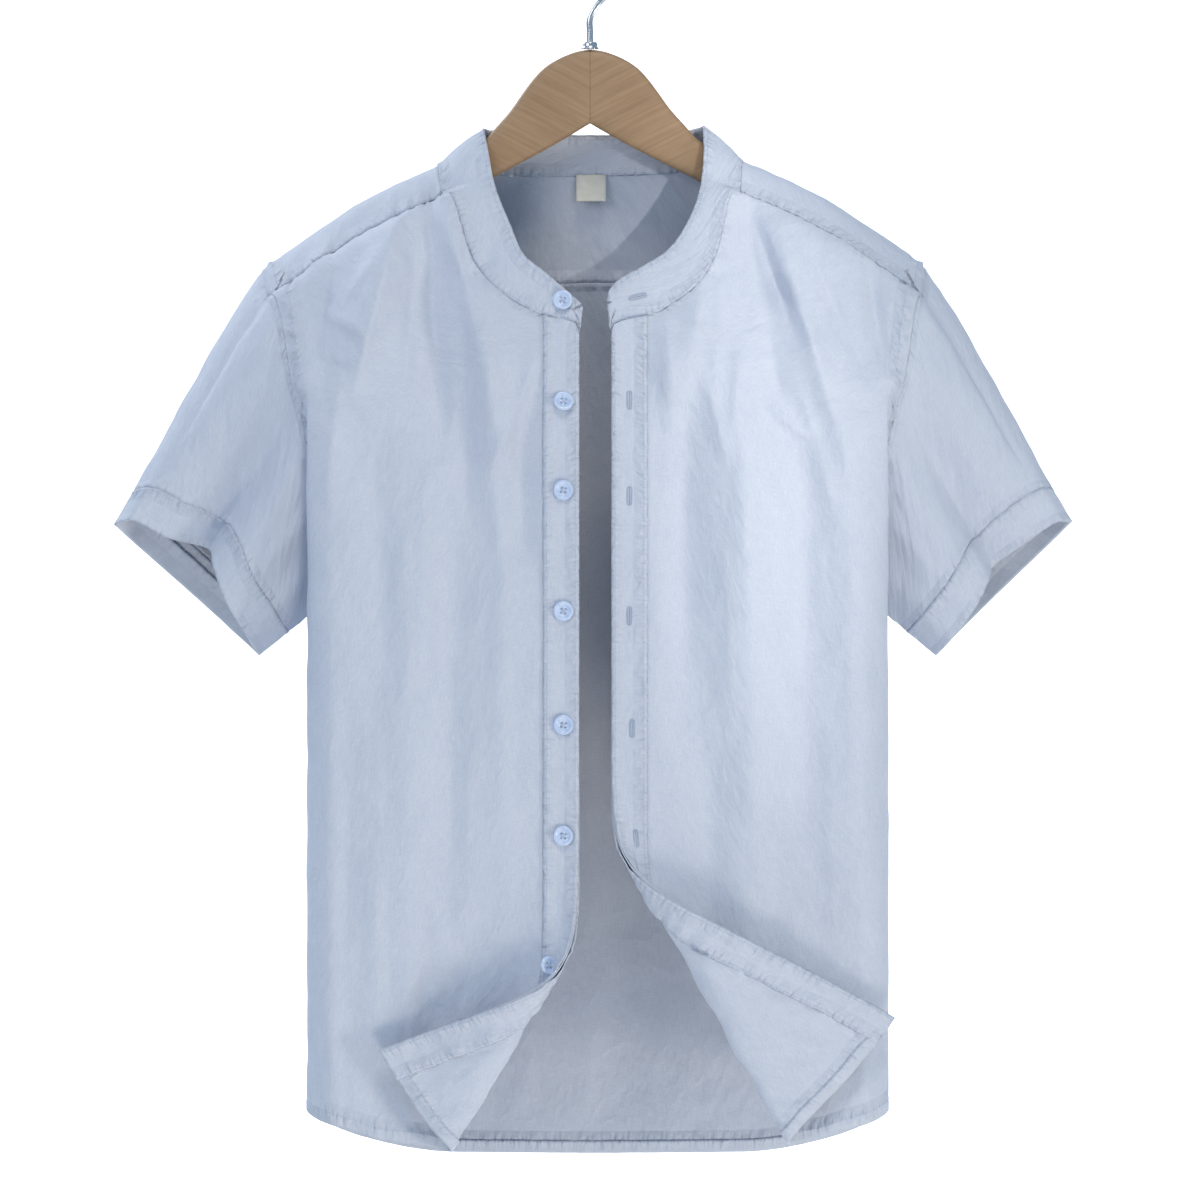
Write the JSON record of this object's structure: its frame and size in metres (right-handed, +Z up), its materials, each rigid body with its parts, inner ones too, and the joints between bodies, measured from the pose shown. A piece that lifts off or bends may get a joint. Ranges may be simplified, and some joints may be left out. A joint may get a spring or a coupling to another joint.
{
  "type": "mandarin collar shirt on a hanger",
  "caption": "Short-sleeved linen shirt with a standing collar band, hung open at the front on a wooden hanger, lower front corners turned up.",
  "frame": {"origin": "inside top of the hanger hook's bend, where a rail carries it", "axes": "+Z up, the shirt's front towards -Y, its wearer's right side towards -X"},
  "size_m": [0.6734, 0.163, 0.8618],
  "materials": {
    "linen": "plain woven linen, matt, slightly slubbed",
    "button": "polished",
    "label": "satin ribbon",
    "wood": "clear satin varnish",
    "metal": "polished"
  },
  "bodies": {
    "root": {"right_front": "linen", "left_front": "linen", "back": "linen", "yoke": "linen", "collar_band": "linen", "right_placket": "linen", "left_placket": "linen", "right_sleeve": "linen", "left_sleeve": "linen", "right_cuff": "linen", "left_cuff": "linen", "button_1": "button", "button_2": "button", "button_3": "button", "button_4": "button", "button_5": "button", "button_6": "button", "button_7": "button", "size_label": "label", "hanger_wood": "wood", "hanger_hook": "metal", "hook_ferrule": "metal"}
  },
  "joints": []
}
